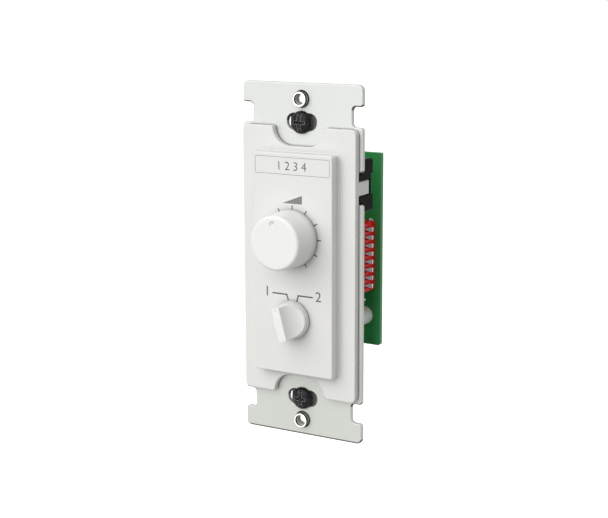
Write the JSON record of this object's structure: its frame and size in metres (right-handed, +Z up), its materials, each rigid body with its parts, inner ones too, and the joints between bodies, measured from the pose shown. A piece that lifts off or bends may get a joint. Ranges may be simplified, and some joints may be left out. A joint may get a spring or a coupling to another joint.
{
  "type": "audio zone controller",
  "caption": "Wall-box audio zone controller: white bezel with volume and selector knobs, steel mounting strap, circuit boards and a red DIP switch behind.",
  "frame": {"origin": "centre of the cover-plate screw pattern on the back face of the strap, the plane of the wall", "axes": "+X to the viewer's right, +Y into the wall, +Z up"},
  "size_m": [0.0402, 0.0565, 0.1062],
  "materials": {
    "strap_steel": "satin zinc plated sheet",
    "collar_metal": "bright turned metal",
    "black_screw": "black oxide",
    "bezel_white": "fine matt moulding",
    "label_white": "smooth matt",
    "knob_white": "satin gloss",
    "carrier_black": "matt moulding",
    "bushing_zinc": "die cast zinc",
    "plated_steel": "bright plated",
    "shaft_alloy": "turned alloy",
    "case_steel": "pressed plated sheet",
    "wafer_brown": "laminated resin board",
    "rotor_black": "moulded",
    "tinned_lead": "tinned",
    "board_green": "green solder mask",
    "switch_red": "glossy moulding",
    "lever_white": "smooth moulding",
    "can_grey": "sleeved can",
    "chip_black": "moulded resin",
    "header_black": "moulded",
    "pin_brass": "gold flashed",
    "block_green": "moulded"
  },
  "bodies": {
    "base": {"mounting_strap": "strap_steel", "cover_screw_collars": "collar_metal", "box_mounting_screws": "black_screw", "screw_retainers": "black_screw", "front_bezel": "bezel_white", "label_strip": "label_white", "rear_carrier": "carrier_black", "volume_bushing": "bushing_zinc", "volume_case": "case_steel", "volume_wafer": "wafer_brown", "volume_pins": "tinned_lead", "volume_lock_washer": "plated_steel", "volume_nut": "plated_steel", "selector_bushing": "bushing_zinc", "selector_case": "case_steel", "selector_wafer": "wafer_brown", "selector_pins": "tinned_lead", "selector_lock_washer": "plated_steel", "selector_nut": "plated_steel", "control_board": "board_green", "rear_board": "board_green", "board_standoffs": "plated_steel", "board_screws": "plated_steel", "header_housings": "header_black", "header_pins": "pin_brass", "dip_switch_body": "switch_red", "dip_switch_pins": "tinned_lead", "filter_capacitor": "can_grey", "capacitor_leads": "tinned_lead", "logic_chip": "chip_black", "logic_chip_leads": "tinned_lead", "chip_resistors": "chip_black", "terminal_block": "block_green", "terminal_clamps": "plated_steel", "terminal_screws": "plated_steel", "terminal_pins": "tinned_lead"},
    "volume_control": {"volume_shaft": "shaft_alloy", "volume_shaft_clip": "plated_steel", "volume_wiper": "rotor_black", "volume_knob": "knob_white"},
    "selector_control": {"selector_shaft": "shaft_alloy", "selector_shaft_clip": "plated_steel", "selector_rotor": "rotor_black", "selector_knob": "knob_white"},
    "dip_1": {"dip_lever_1": "lever_white"},
    "dip_2": {"dip_lever_2": "lever_white"},
    "dip_3": {"dip_lever_3": "lever_white"},
    "dip_4": {"dip_lever_4": "lever_white"},
    "dip_5": {"dip_lever_5": "lever_white"},
    "dip_6": {"dip_lever_6": "lever_white"},
    "dip_7": {"dip_lever_7": "lever_white"},
    "dip_8": {"dip_lever_8": "lever_white"}
  },
  "joints": [
    {"name": "volume_turn", "type": "hinge", "parent": "base", "child": "volume_control", "pos_m": [0, 0, 0.00845], "axis": [0, 1, 0], "range_deg": [-144, 156]},
    {"name": "selector_turn", "type": "hinge", "parent": "base", "child": "selector_control", "pos_m": [0, 0, -0.016], "axis": [0, 1, 0], "range_deg": [0, 30]},
    {"name": "dip_1_rock", "type": "hinge", "parent": "base", "child": "dip_1", "pos_m": [0.00685, 0.024, 0.00679], "axis": [0, 0, 1], "range_deg": [-24, 0]},
    {"name": "dip_2_rock", "type": "hinge", "parent": "base", "child": "dip_2", "pos_m": [0.00685, 0.024, 0.00425], "axis": [0, 0, 1], "range_deg": [-24, 0]},
    {"name": "dip_3_rock", "type": "hinge", "parent": "base", "child": "dip_3", "pos_m": [0.00685, 0.024, 0.00171], "axis": [0, 0, 1], "range_deg": [-24, 0]},
    {"name": "dip_4_rock", "type": "hinge", "parent": "base", "child": "dip_4", "pos_m": [0.00685, 0.024, -0.00083], "axis": [0, 0, 1], "range_deg": [-24, 0]},
    {"name": "dip_5_rock", "type": "hinge", "parent": "base", "child": "dip_5", "pos_m": [0.00685, 0.024, -0.00337], "axis": [0, 0, 1], "range_deg": [-24, 0]},
    {"name": "dip_6_rock", "type": "hinge", "parent": "base", "child": "dip_6", "pos_m": [0.00685, 0.024, -0.00591], "axis": [0, 0, 1], "range_deg": [-24, 0]},
    {"name": "dip_7_rock", "type": "hinge", "parent": "base", "child": "dip_7", "pos_m": [0.00685, 0.024, -0.00845], "axis": [0, 0, 1], "range_deg": [-24, 0]},
    {"name": "dip_8_rock", "type": "hinge", "parent": "base", "child": "dip_8", "pos_m": [0.00685, 0.024, -0.01099], "axis": [0, 0, 1], "range_deg": [-24, 0]}
  ]
}
